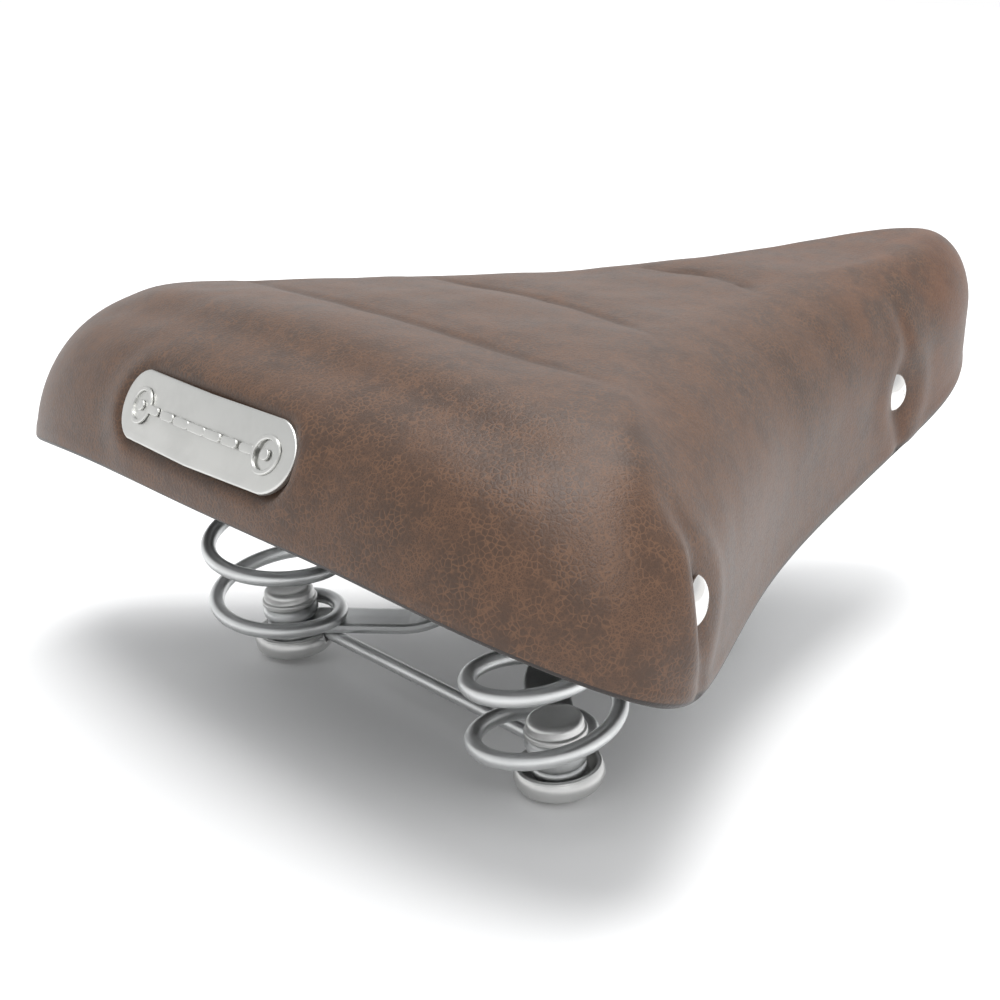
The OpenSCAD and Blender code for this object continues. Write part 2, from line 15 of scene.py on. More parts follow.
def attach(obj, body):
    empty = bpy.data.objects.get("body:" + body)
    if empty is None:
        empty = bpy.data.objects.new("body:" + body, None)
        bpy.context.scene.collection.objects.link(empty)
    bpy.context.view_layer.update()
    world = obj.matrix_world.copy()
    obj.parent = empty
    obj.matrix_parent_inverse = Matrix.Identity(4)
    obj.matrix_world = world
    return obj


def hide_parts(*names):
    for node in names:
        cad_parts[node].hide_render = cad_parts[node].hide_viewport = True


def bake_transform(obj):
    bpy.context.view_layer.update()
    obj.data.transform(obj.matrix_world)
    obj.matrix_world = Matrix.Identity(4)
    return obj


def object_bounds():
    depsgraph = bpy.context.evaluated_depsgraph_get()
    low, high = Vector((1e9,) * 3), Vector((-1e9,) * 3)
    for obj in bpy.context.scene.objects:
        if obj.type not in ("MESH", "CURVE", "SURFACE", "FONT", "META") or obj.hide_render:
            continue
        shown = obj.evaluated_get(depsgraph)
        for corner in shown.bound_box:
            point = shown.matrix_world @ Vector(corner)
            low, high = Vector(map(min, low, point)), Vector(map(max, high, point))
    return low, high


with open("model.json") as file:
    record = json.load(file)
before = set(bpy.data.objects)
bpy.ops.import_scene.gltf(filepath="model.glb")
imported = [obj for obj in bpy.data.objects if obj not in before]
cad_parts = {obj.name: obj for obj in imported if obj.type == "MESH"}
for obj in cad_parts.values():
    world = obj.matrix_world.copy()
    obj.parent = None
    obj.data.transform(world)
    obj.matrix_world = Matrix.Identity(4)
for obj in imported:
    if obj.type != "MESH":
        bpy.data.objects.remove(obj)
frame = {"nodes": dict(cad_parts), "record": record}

CAD_BOX = [list(corner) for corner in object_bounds()]
MM = 0.001
log = logging.getLogger("saddle")


class Slot(Enum):
    """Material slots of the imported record."""

    COVER = "cover_leather"
    FOAM = "foam"
    PAN = "pan_plastic"
    PLATE = "plate_metal"
    POLISHED = "polished_metal"
    PRESSED = "pressed_steel"
    FASTENER = "fastener_steel"
    CHROME_FASTENER = "chrome_fastener"
    SPRING = "spring_wire"
    RAIL = "rail_chrome"
    CLAMP = "clamp_steel"


class Body(Enum):
    """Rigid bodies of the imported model."""

    COLLAR = "collar"
    CUPS = "rail_cups"
    CHASSIS = "chassis"
    SEAT = "seat"


# ------------------------------------------------------------------- frames


@dataclass(frozen=True)
class SaddleFrame:
    """Frames in which the saddle is drawn, in millimetres.

    The level frame starts at the rear edge, on the ground under the feet. The
    chassis frame leans back with the springs and starts under the feet. The
    row frame starts in the middle of the seat-post bore.
    """

    foot_x: float = 63.9
    lean: float = math.radians(9.5)
    ring_u: float = 94.0
    ring_mid: float = 3.8

    def level(self, points: np.ndarray) -> np.ndarray:
        """Turn points of the chassis frame into the level frame."""
        points = np.atleast_2d(np.asarray(points, float))
        c, s = math.cos(self.lean), math.sin(self.lean)
        x = self.foot_x + points[:, 0] * c - points[:, 2] * s
        z = points[:, 0] * s + points[:, 2] * c
        return np.column_stack([x, points[:, 1], z])

    def origin(self) -> np.ndarray:
        """Return the row frame's origin in the level frame."""
        return self.level([self.ring_u, 0.0, self.ring_mid])[0]

    def row(self, points: np.ndarray) -> np.ndarray:
        """Turn points of the level frame into the row frame, in metres."""
        return (np.asarray(points, float) - self.origin()) * MM

    def chassis_to_row(self, points: np.ndarray) -> np.ndarray:
        """Turn points of the chassis frame into the row frame, in metres."""
        return self.row(self.level(points))

    def chassis_matrix(self, place: tuple[float, float, float]) -> Matrix:
        """Return the placement of a piece drawn about a point of the chassis.

        Args:
            place: the point in the chassis frame, in millimetres.

        Returns:
            A matrix from millimetres about that point to the row frame.
        """
        at = Vector(self.chassis_to_row(place)[0])
        turn = Matrix.Rotation(-self.lean, 4, "Y")
        return Matrix.Translation(at) @ turn @ Matrix.Scale(MM, 4)


FRAMES = SaddleFrame()


# --------------------------------------------------------------- mesh helpers


def link(name: str, mesh: bpy.types.Mesh) -> bpy.types.Object:
    """Put a mesh in the scene as an object of that name."""
    piece = bpy.data.objects.new(name, mesh)
    bpy.context.scene.collection.objects.link(piece)
    return piece


def finish_bmesh(name: str, bm: bmesh.types.BMesh, smooth: float = 40.0) -> bpy.types.Object:
    """Turn a bmesh into an object shaded smooth up to an angle.

    Args:
        name: the new object's name.
        bm: the bmesh, which is freed.
        smooth: edges sharper than this many degrees stay crisp.

    Returns:
        The new object.
    """
    bm.normal_update()
    for face in bm.faces:
        face.smooth = True
    for edge in bm.edges:
        edge.smooth = len(edge.link_faces) == 2 and edge.calc_face_angle(0.0) < math.radians(smooth)
    mesh = bpy.data.meshes.new(name)
    bm.to_mesh(mesh)
    bm.free()
    return link(name, mesh)


def loft(name: str, rings: list[np.ndarray], smooth: float = 40.0) -> bpy.types.Object:
    """Skin rings of points into a solid whose two ends close in a point.

    Args:
        name: the new object's name.
        rings: rings of as many points each, in metres.
        smooth: edges sharper than this many degrees stay crisp.

    Returns:
        The solid, with an int attribute "ring" that numbers its rings.
    """
    bm = bmesh.new()
    at = bm.verts.layers.int.new("at")
    number = bm.verts.layers.int.new("ring")
    loop = bmesh.ops.create_circle(bm, segments=len(rings[0]), radius=1.0)["verts"]
    for index, vert in enumerate(loop):
        vert[at] = index
        vert.co = rings[0][index]
    edges = list(bm.edges)
    first = list(loop)
    for level, ring in enumerate(rings[1:], 1):
        grown = bmesh.ops.extrude_edge_only(bm, edges=edges)["geom"]
        loop = [g for g in grown if isinstance(g, bmesh.types.BMVert)]
        fresh = set(loop)
        for vert in loop:
            vert.co = ring[vert[at]]
            vert[number] = level
        edges = [
            g for g in grown
            if isinstance(g, bmesh.types.BMEdge) and g.verts[0] in fresh and g.verts[1] in fresh
        ]
    for end, ring in ((first, rings[0]), (loop, rings[-1])):
        bmesh.ops.pointmerge(bm, verts=end, merge_co=Vector(ring.mean(axis=0)))
    bmesh.ops.recalc_face_normals(bm, faces=bm.faces)
    bm.verts.layers.int.remove(bm.verts.layers.int["at"])
    return finish_bmesh(name, bm, smooth)


def turned(name: str, profile: list[tuple[float, float]], places: list[Matrix],
           steps: int = 72) -> bpy.types.Object:
    """Spin a profile about the z axis and put a copy at each place.

    Args:
        name: the new object's name.
        profile: (radius, height) points in millimetres.
        places: one matrix for each copy.
        steps: the number of steps in a full turn.

    Returns:
        One object with all the copies.
    """
    whole = bmesh.new()
    for place in places:
        bm = bmesh.new()
        verts = [bm.verts.new((r, 0.0, z)) for r, z in profile]
        edges = [bm.edges.new(pair) for pair in zip(verts, verts[1:])]
        bmesh.ops.spin(
            bm, geom=verts + edges, cent=(0, 0, 0), axis=(0, 0, 1),
            angle=2 * math.pi, steps=steps, use_merge=True,
        )
        bmesh.ops.remove_doubles(bm, verts=bm.verts, dist=1e-4)
        bmesh.ops.recalc_face_normals(bm, faces=bm.faces)
        bmesh.ops.transform(bm, matrix=place, verts=bm.verts)
        part = bpy.data.meshes.new("part")
        bm.to_mesh(part)
        bm.free()
        whole.from_mesh(part)
        bpy.data.meshes.remove(part)
    return finish_bmesh(name, whole)


def wire(name: str, path: np.ndarray, radius: float) -> bpy.types.Object:
    """Make a round wire along a path, as a mesh.

    Args:
        name: the new object's name.
        path: points in metres.
        radius: the wire's radius in metres.

    Returns:
        The wire.
    """
    curve = bpy.data.curves.new(name, "CURVE")
    curve.dimensions = "3D"
    curve.bevel_depth = radius
    curve.bevel_resolution = 6
    curve.use_fill_caps = True
    spline = curve.splines.new("POLY")
    spline.points.add(len(path) - 1)
    for point, place in zip(spline.points, path):
        point.co = (*place, 1.0)
    scratch = link("scratch", curve)
    mesh = bpy.data.meshes.new_from_object(scratch.evaluated_get(bpy.context.evaluated_depsgraph_get()))
    bpy.data.objects.remove(scratch)
    bm = bmesh.new()
    bm.from_mesh(mesh)
    bpy.data.meshes.remove(mesh)
    bmesh.ops.remove_doubles(bm, verts=bm.verts, dist=1e-6)
    return finish_bmesh(name, bm, 50.0)


def carve(piece: bpy.types.Object, cutters: list[bpy.types.Object]) -> None:
    """Cut the cutters out of a piece, and remove them."""
    for cutter in cutters:
        cut = piece.modifiers.new("cut", "BOOLEAN")
        cut.operation = "DIFFERENCE"
        cut.object = cutter
        cut.solver = "EXACT"
    mesh = bpy.data.meshes.new_from_object(piece.evaluated_get(bpy.context.evaluated_depsgraph_get()))
    piece.modifiers.clear()
    piece.data = mesh
    for cutter in cutters:
        bpy.data.objects.remove(cutter)


def smoothstep(low: float, high: float, value: np.ndarray) -> np.ndarray:
    """Return a smooth ramp from 0 at low to 1 at high."""
    share = np.clip((value - low) / (high - low), 0.0, 1.0)
    return share * share * (3.0 - 2.0 * share)


def bell(value: np.ndarray, width: float) -> np.ndarray:
    """Return a bell curve that is 1 at zero."""
    return np.exp(-((value / width) ** 2))


# ------------------------------------------------------------------ materials


class NodeBuilder:
    """Short way to add and join nodes in a material or a node group."""

    def __init__(self, tree: bpy.types.NodeTree) -> None:
        """Start on an emptied tree."""
        self.tree = tree
        tree.nodes.clear()

    def add(self, kind: str, inputs: dict | None = None, **settings: object) -> bpy.types.Node:
        """Add a node.

        Args:
            kind: the node's type without the ShaderNode prefix, or a full name.
            inputs: a value or an output socket for each input to set.
            **settings: the node's own properties.

        Returns:
            The node.
        """
        full = kind if kind.startswith("NodeGroup") else "ShaderNode" + kind
        node = self.tree.nodes.new(full)
        for key, value in settings.items():
            setattr(node, key, value)
        for key, value in (inputs or {}).items():
            if isinstance(value, bpy.types.NodeSocket):
                self.tree.links.new(value, node.inputs[key])
            else:
                node.inputs[key].default_value = value
        return node

    def ramp(self, value: bpy.types.NodeSocket, low: float, high: float,
             start: float = 0.0, end: float = 1.0) -> bpy.types.NodeSocket:
        """Map a value smoothly from one range to another."""
        node = self.add(
            "MapRange", {"Value": value, 1: low, 2: high, 3: start, 4: end},
            interpolation_type="SMOOTHSTEP",
        )
        return node.outputs["Result"]

    def math(self, operation: str, *values: object) -> bpy.types.NodeSocket:
        """Add a math node."""
        node = self.add("Math", dict(enumerate(values)), operation=operation)
        return node.outputs[0]

    def mix(self, factor: object, a: object, b: object) -> bpy.types.NodeSocket:
        """Mix two colours."""
        node = self.add("Mix", {0: factor, 6: a, 7: b}, data_type="RGBA")
        return node.outputs[2]

    def noise(self, where: bpy.types.NodeSocket, scale: float, detail: float = 3.0,
              roughness: float = 0.55) -> bpy.types.NodeSocket:
        """Add a noise texture and return its value."""
        node = self.add("TexNoise", {"Vector": where, "Scale": scale, "Detail": detail,
                                     "Roughness": roughness})
        return node.outputs["Fac"]

    def group(self, tree: bpy.types.NodeTree, inputs: dict) -> bpy.types.Node:
        """Place a shared effect with its own values."""
        node = self.tree.nodes.new("ShaderNodeGroup")
        node.node_tree = tree
        for key, value in inputs.items():
            if isinstance(value, bpy.types.NodeSocket):
                self.tree.links.new(value, node.inputs[key])
            else:
                node.inputs[key].default_value = value
        return node


def new_group(name: str, inputs: dict[str, tuple[str, object]],
              outputs: dict[str, str]) -> tuple[bpy.types.NodeTree, NodeBuilder]:
    """Start an effect group.

    Args:
        name: the group's name.
        inputs: a socket type and a default for each input.
        outputs: a socket type for each output.

    Returns:
        The group and a builder on it.
    """
    tree = bpy.data.node_groups.new(name, "ShaderNodeTree")
    for key, (kind, default) in inputs.items():
        socket = tree.interface.new_socket(key, in_out="INPUT", socket_type="NodeSocket" + kind)
        if default is not None:
            socket.default_value = default
    for key, kind in outputs.items():
        tree.interface.new_socket(key, in_out="OUTPUT", socket_type="NodeSocket" + kind)
    return tree, NodeBuilder(tree)


class Effects:
    """Effect groups that several materials share."""

    def __init__(self) -> None:
        """Build each group once."""
        self.grain = self._grain()
        self.handling = self._handling()

    @staticmethod
    def _grain() -> bpy.types.NodeTree:
        """Pebbled grain with fine creases between the pebbles."""
        tree, build = new_group(
            "grain",
            {"Vector": ("Vector", None), "Scale": ("Float", 900.0), "Warp": ("Float", 0.0006)},
            {"Crease": "Float", "Height": "Float"},
        )
        source = build.add("NodeGroupInput")
        warp = build.add("TexNoise", {"Vector": source.outputs["Vector"], "Scale": 420.0, "Detail": 2.0})
        centred = build.add("VectorMath", {0: warp.outputs["Color"], 1: (0.5, 0.5, 0.5)},
                            operation="SUBTRACT")
        shift = build.add("VectorMath", {0: centred.outputs[0], 3: source.outputs["Warp"]},
                          operation="SCALE")
        where = build.add("VectorMath", {0: source.outputs["Vector"], 1: shift.outputs[0]})
        cells = build.add(
            "TexVoronoi", {"Vector": where.outputs[0], "Scale": source.outputs["Scale"]},
            feature="DISTANCE_TO_EDGE",
        )
        small = build.math("MULTIPLY", source.outputs["Scale"], 2.3)
        pores = build.add("TexVoronoi", {"Vector": where.outputs[0], "Scale": small}, feature="F1")
        crease = build.ramp(cells.outputs["Distance"], 0.0, 0.16, 1.0, 0.0)
        pebble = build.ramp(cells.outputs["Distance"], 0.0, 0.3)
        height = build.math("MULTIPLY_ADD", pores.outputs["Distance"], -0.35, pebble)
        build.add("NodeGroupOutput", {"Crease": crease, "Height": height})
        return tree

    @staticmethod
    def _handling() -> bpy.types.NodeTree:
        """Smudges and fine scratches that storage and fitting leave on metal."""
        tree, build = new_group(
            "handling",
            {"Vector": ("Vector", None), "Smudge Scale": ("Float", 60.0),
             "Scratch Scale": ("Float", 900.0)},
            {"Smudge": "Float", "Scratch": "Float"},
        )
        source = build.add("NodeGroupInput")
        smudge = build.noise(source.outputs["Vector"], 60.0, 4.0, 0.6)
        build.tree.links.new(source.outputs["Smudge Scale"], smudge.node.inputs["Scale"])
        stretched = build.add("Mapping", {"Vector": source.outputs["Vector"],
                                          "Rotation": (0.3, 0.7, 0.4), "Scale": (1.0, 0.06, 1.0)})
        scratch = build.noise(stretched.outputs[0], 900.0, 2.0, 0.7)
        build.tree.links.new(source.outputs["Scratch Scale"], scratch.node.inputs["Scale"])
        lines = build.ramp(scratch, 0.56, 0.72)
        smudge_mask = build.ramp(smudge, 0.35, 0.7)
        build.add("NodeGroupOutput", {"Smudge": smudge_mask, "Scratch": lines})
        return tree


def new_material(name: str) -> tuple[bpy.types.Material, NodeBuilder]:
    """Start an emptied node material."""
    material = bpy.data.materials.new(name)
    material.use_nodes = True
    return material, NodeBuilder(material.node_tree)


Colour = tuple[float, float, float, float]


@dataclass(frozen=True)
class LeatherFinish:
    """Waxed brown leather with a crackled, pebbled grain."""

    name: str = "crackled_leather"
    dark: Colour = (0.046, 0.024, 0.0140, 1.0)
    warm: Colour = (0.060, 0.028, 0.0142, 1.0)
    lit_nose: Colour = (0.094, 0.033, 0.0120, 1.0)
    crackle: Colour = (0.150, 0.073, 0.036, 1.0)
    edge: Colour = (0.012, 0.007, 0.005, 1.0)
    roughness: float = 0.47
    lit_nose_fade: tuple = (-0.03, 0.085)

    def build(self, effects: Effects) -> bpy.types.Material:
        """Build the material.

        Args:
            effects: the shared effect groups.

        Returns:
            The material.
        """
        material, build = new_material(self.name)
        where = build.add("TexCoord").outputs["Object"]
        mottle = build.noise(where, 22.0, 5.0, 0.6)
        patches = build.noise(where, 90.0, 4.0, 0.65)
        blend = build.math("MULTIPLY_ADD", patches, 0.45, build.math("MULTIPLY", mottle, 0.75))
        tint = build.ramp(blend, 0.42, 0.78)
        # Painted light: the leather turns lighter and more orange towards the nose and stays darker at the
        # rear, as light falls from the front
        ahead = build.add("SeparateXYZ", {0: where}).outputs["X"]
        nose_light = build.mix(build.ramp(ahead, *self.lit_nose_fade, 0.0, 0.9), self.warm, self.lit_nose)
        base = build.mix(tint, self.dark, nose_light)
        grain = build.group(effects.grain, {"Vector": where, "Scale": 800.0, "Warp": 0.0008})
        fine = build.group(effects.grain, {"Vector": where, "Scale": 1900.0, "Warp": 0.0006})
        threads = build.noise(where, 260.0, 3.0, 0.7)
        broken = build.math("MULTIPLY", grain.outputs["Crease"], build.ramp(threads, 0.34, 0.58))
        flecks = build.math("MULTIPLY", fine.outputs["Crease"], build.ramp(patches, 0.4, 0.65, 0.1, 0.55))
        lines = build.math("MAXIMUM", build.math("MULTIPLY", broken, 0.6), flecks)
        coloured = build.mix(lines, base, self.crackle)
        cut = build.add("Attribute", attribute_name="cut_edge", attribute_type="GEOMETRY")
        full = build.mix(cut.outputs["Fac"], coloured, self.edge)
        # Painted shade: the creases, the gap round the plate and the rings round the rivets take the dark
        # leather colour
        crease_shade = build.add("Attribute", attribute_name="crease", attribute_type="GEOMETRY")
        shaded = build.mix(crease_shade.outputs["Fac"], full, self.dark)
        rough = build.math(
            "MULTIPLY_ADD", patches, 0.12,
            build.math("MULTIPLY_ADD", grain.outputs["Crease"], 0.06, self.roughness - 0.08))
        height = build.math("MULTIPLY_ADD", fine.outputs["Height"], 0.35, grain.outputs["Height"])
        bump = build.add("Bump", {"Strength": 0.22, "Distance": 0.00014, "Height": height})
        shader = build.add("BsdfPrincipled", {
            "Base Color": shaded, "Roughness": rough, "Normal": bump.outputs[0],
            "Specular IOR Level": 0.45, "Sheen Weight": 0.04, "Sheen Roughness": 0.5,
        })
        build.add("OutputMaterial", {"Surface": shader.outputs[0]})
        return material


@dataclass(frozen=True)
class MetalFinish:
    """Plated, satin or polished metal with smudges and fine scratches."""

    name: str
    colour: Colour
    roughness: float
    smudge: float = 0.05
    scratch: float = 0.04
    bump: float = 0.008
    brushed: bool = False

    def build(self, effects: Effects) -> bpy.types.Material:
        """Build the material.

        Args:
            effects: the shared effect groups.

        Returns:
            The material.
        """
        material, build = new_material(self.name)
        where = build.add("TexCoord").outputs["Object"]
        worn = build.group(effects.handling, {
            "Vector": where, "Smudge Scale": 90.0, "Scratch Scale": 1400.0})
        dull = tuple(channel * 0.72 for channel in self.colour[:3]) + (1.0,)
        tint = build.mix(build.math("MULTIPLY", worn.outputs["Smudge"], 0.25), self.colour, dull)
        rough = build.math(
            "MULTIPLY_ADD", worn.outputs["Scratch"], self.scratch,
            build.math("MULTIPLY_ADD", worn.outputs["Smudge"], self.smudge, self.roughness))
        height = worn.outputs["Scratch"]
        if self.brushed:
            lines = build.add("Mapping", {"Vector": where, "Scale": (1.0, 0.03, 1.0)})
            height = build.noise(lines.outputs[0], 5200.0, 2.0, 0.6)
        bump = build.add("Bump", {"Strength": self.bump, "Distance": 0.00003, "Height": height})
        shader = build.add("BsdfPrincipled", {
            "Base Color": tint, "Roughness": rough, "Metallic": 1.0, "Normal": bump.outputs[0]})
        build.add("OutputMaterial", {"Surface": shader.outputs[0]})
        return material


@dataclass(frozen=True)
class MouldedFinish:
    """Moulded plastic or foam with a fine texture."""

    name: str
    colour: Colour
    pale: Colour
    roughness: float
    scale: float
    depth: float

    def build(self, effects: Effects) -> bpy.types.Material:
        """Build the material.

        Args:
            effects: the shared effect groups.

        Returns:
            The material.
        """
        material, build = new_material(self.name)
        where = build.add("TexCoord").outputs["Object"]
        grain = build.group(effects.grain, {"Vector": where, "Scale": self.scale, "Warp": 0.0004})
        cloud = build.noise(where, 45.0, 4.0, 0.6)
        tint = build.mix(build.ramp(cloud, 0.35, 0.75), self.colour, self.pale)
        rough = build.math("MULTIPLY_ADD", cloud, 0.15, self.roughness - 0.07)
        bump = build.add("Bump", {"Strength": 0.3, "Distance": self.depth,
                                  "Height": grain.outputs["Height"]})
        shader = build.add("BsdfPrincipled", {
            "Base Color": tint, "Roughness": rough, "Normal": bump.outputs[0]})
        build.add("OutputMaterial", {"Surface": shader.outputs[0]})
        return material


class Wardrobe:
    """One material for each slot of the record."""

    FINISHES = {
        Slot.COVER: LeatherFinish(),
        Slot.FOAM: MouldedFinish("cut_foam", (0.46, 0.40, 0.27, 1), (0.58, 0.52, 0.38, 1), 0.9,
                                 900.0, 0.0004),
        Slot.PAN: MouldedFinish("moulded_pan", (0.012, 0.012, 0.013, 1), (0.024, 0.023, 0.022, 1), 0.5,
                                1300.0, 0.0001),
        Slot.PLATE: MetalFinish("satin_plate", (0.62, 0.62, 0.60, 1), 0.34, brushed=True, bump=0.02),
        Slot.POLISHED: MetalFinish("polished_rivet", (0.86, 0.85, 0.83, 1), 0.12),
        Slot.PRESSED: MetalFinish("zinc_pressing", (0.50, 0.51, 0.52, 1), 0.38, smudge=0.14),
        Slot.FASTENER: MetalFinish("zinc_fastener", (0.47, 0.47, 0.48, 1), 0.36),
        Slot.CHROME_FASTENER: MetalFinish("plated_fastener", (0.70, 0.70, 0.69, 1), 0.36),
        Slot.SPRING: MetalFinish("plated_wire", (0.70, 0.71, 0.71, 1), 0.38),
        Slot.RAIL: MetalFinish("plated_rail", (0.68, 0.69, 0.69, 1), 0.36),
        Slot.CLAMP: MetalFinish("plated_clamp", (0.48, 0.49, 0.50, 1), 0.33, smudge=0.12),
    }

    def __init__(self) -> None:
        """Build the materials."""
        effects = Effects()
        self.materials = {slot: finish.build(effects) for slot, finish in self.FINISHES.items()}

    def dress(self, piece: bpy.types.Object, slot: Slot) -> None:
        """Give a piece the material of a slot."""
        piece.data.materials.clear()
        piece.data.materials.append(self.materials[slot])

    def dress_cad_nodes(self) -> None:
        """Give every CAD node the material of its slot in the record."""
        for row in frame["record"]["subparts"]:
            node = frame["nodes"][row["node"]]
            node.data.materials.clear()
            node.data.materials.append(self.materials[Slot(row["material_slot"])])


def place_piece(piece: bpy.types.Object, body: Body, *nodes: str) -> None:
    """Let a piece ride a body, in place of CAD nodes, and report it."""
    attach(piece, body.value)
    if nodes:
        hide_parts(*nodes)
    log.info("%s: %d faces on %s", piece.name, len(piece.data.polygons), body.value)


# ----------------------------------------------------------------------- seat


@dataclass(frozen=True)
class SeatShape:
    """Formula of the seat's surface, in millimetres of the level frame."""

    half_outline: tuple = (
        (0, 0, 38, 64), (0, 51, 37.5, 65), (5.5, 90, 39.5, 60), (28.5, 118.5, 39.5, 49.5),
        (59, 100, 37, 41.5), (114, 64, 33.5, 43), (162, 45, 28, 48), (210, 30, 25, 56),
        (248, 22.5, 23, 67.5), (269, 0, 22, 78),
    )
    spine: tuple = (101.5, 102, 102, 101, 103, 105.5, 111)
    middle: tuple = (95.0, 0.0)
    length: float = 262.0
    width: float = 222.0
    crown: float = 10.5
    power: float = 2.25
    pan_z: float = 66.0
    least_skirt: float = 0.6
    pan_slope: float = math.tan(math.radians(2.6))
    pan_t: float = 3.0

    def control(self) -> np.ndarray:
        """Return the closed control polygon, left half and mirror image."""
        left = np.array(self.half_outline, float)
        right = left[1:-1][::-1] * [1, -1, 1, 1]
        return np.vstack([left, right])

    def outline(self, at: np.ndarray) -> np.ndarray:
        """Return [x, y, shoulder radius, hem height] at places on the outline."""
        control = self.control()
        at = np.asarray(at, float)
        start = np.floor(at).astype(int)
        f = at - start
        basis = np.stack([(1 - f) ** 3, 3 * f**3 - 6 * f**2 + 4,
                          -3 * f**3 + 3 * f**2 + 3 * f + 1, f**3], -1) / 6.0
        near = (start[..., None] + np.arange(-1, 3)) % len(control)
        return np.einsum("...k,...kj->...j", basis, control[near])

    def even_places(self, count: int) -> np.ndarray:
        """Return places on the outline that are equally far apart."""
        fine = np.linspace(0, len(self.control()), 4001)
        points = self.outline(fine)[:, :2]
        run = np.concatenate([[0], np.cumsum(np.linalg.norm(np.diff(points, axis=0), axis=1))])
        return np.interp(np.arange(count) * run[-1] / count, run, fine)

    def inward(self, at: np.ndarray) -> np.ndarray:
        """Return unit vectors into the seat, square to the outline."""
        d = self.outline(np.asarray(at) + 0.02) - self.outline(np.asarray(at) - 0.02)
        across = np.stack([d[..., 1], -d[..., 0]], -1)
        return across / np.linalg.norm(across, axis=-1, keepdims=True)

    def spine_z(self, x: np.ndarray) -> np.ndarray:
        """Return the height of the top's middle line."""
        values = np.array(self.spine, float)
        last = len(values) - 1
        u = np.clip(np.asarray(x) / self.length, 0, 1) * last
        i = np.minimum(np.floor(u).astype(int), last - 1)
        f = u - i
        padded = np.concatenate([[2 * values[0] - values[1]], values, [2 * values[-1] - values[-2]]])
        a, b, c, d = (padded[i + k] for k in range(4))
        return 0.5 * (2 * b + (c - a) * f + (2 * a - 5 * b + 4 * c - d) * f**2
                      + (3 * b - a - 3 * c + d) * f**3)

    def top_z(self, x: np.ndarray, y: np.ndarray) -> np.ndarray:
        """Return the height of the top without its shoulder."""
        return self.spine_z(x) - self.crown * (2 * y / self.width) ** 2

    def rings(self, at: np.ndarray, depth: float, flat: int, round_: int) -> list[np.ndarray]:
        """Return rings of a surface that lies a depth under the outside.

        Args:
            at: places on the outline.
            depth: the depth in millimetres.
            flat: the number of rings on the top.
            round_: the number of rings on the shoulder.

        Returns:
            Rings from the middle of the seat to the foot of the shoulder.
        """
        o, n = self.outline(at), self.inward(at)
        edge = o[:, :2] + n * depth
        middle = np.array(self.middle)
        reach = np.abs(np.einsum("ij,ij->i", edge - middle, n))
        r = np.minimum(o[:, 2] - depth, reach * 0.98)
        room = self.top_z(edge[:, 0], edge[:, 1]) - depth - o[:, 3] - self.least_skirt
        lowest = (1 - (1 - np.clip(room / r, 0, 1)) ** self.power) ** 0.5
        start = 1 - r / reach
        shares = [start * k / flat for k in range(flat)]
        for step in np.linspace(0, 1, round_ + 1):
            shares.append(start + (1 - start) * np.sin(step * np.arcsin(lowest)) ** (2 / self.power))
        made = []
        for q in shares:
            p = middle + q[:, None] * (edge - middle)
            s = np.clip(1 - (1 - q) * reach / r, 0, 1)
            drop = r * (1 - (1 - s**self.power) ** (1 / self.power))
            made.append(np.column_stack([p, self.top_z(p[:, 0], p[:, 1]) - depth - drop]))
        return made

    def hem(self, at: np.ndarray, depth: float, lift: float) -> np.ndarray:
        """Return a ring a depth inside the outline and a lift above the hem."""
        o, n = self.outline(at), self.inward(at)
        return np.column_stack([o[:, :2] + n * depth, o[:, 3] + lift])


@dataclass(frozen=True)
class Rivets:
    """Domed rivets that hold the skirt to the pan."""

    shape: SeatShape
    places: tuple = ((3.62, 64.0), (6.86, 71.0))
    seat_depth: float = 2.1

    def spots(self) -> list[tuple[np.ndarray, np.ndarray]]:
        """Return each rivet's point on the skirt and the way out of it."""
        found = []
        for at, z in self.places:
            o, n = self.shape.outline(at), self.shape.inward(at)
            for side in (1, -1):
                point = np.array([o[0], side * o[1], z])
                out = np.array([-n[0], -side * n[1], 0.0])
                found.append((point, out))
        return found

    def build(self, wardrobe: Wardrobe) -> None:
        """Make the four rivets."""
        profile = [(0, 2.35), (0.9, 2.32), (1.15, 2.18), (1.45, 2.2), (2.4, 2.05), (3.5, 1.65),
                   (4.5, 1.05), (5.2, 0.45), (5.45, 0.0), (5.35, -0.35), (4.6, -0.5), (2.0, -0.5),
                   (2.0, -5.5), (0, -5.5)]
        places = []
        for point, out in self.spots():
            at = Vector(FRAMES.row(point - out * self.seat_depth))
            turn = Vector(out).to_track_quat("Z", "Y").to_matrix().to_4x4()
            places.append(Matrix.Translation(at) @ turn @ Matrix.Scale(MM, 4))
        piece = turned("skirt_rivets", profile, places)
        wardrobe.dress(piece, Slot.POLISHED)
        place_piece(piece, Body.SEAT, "cover_rivets")


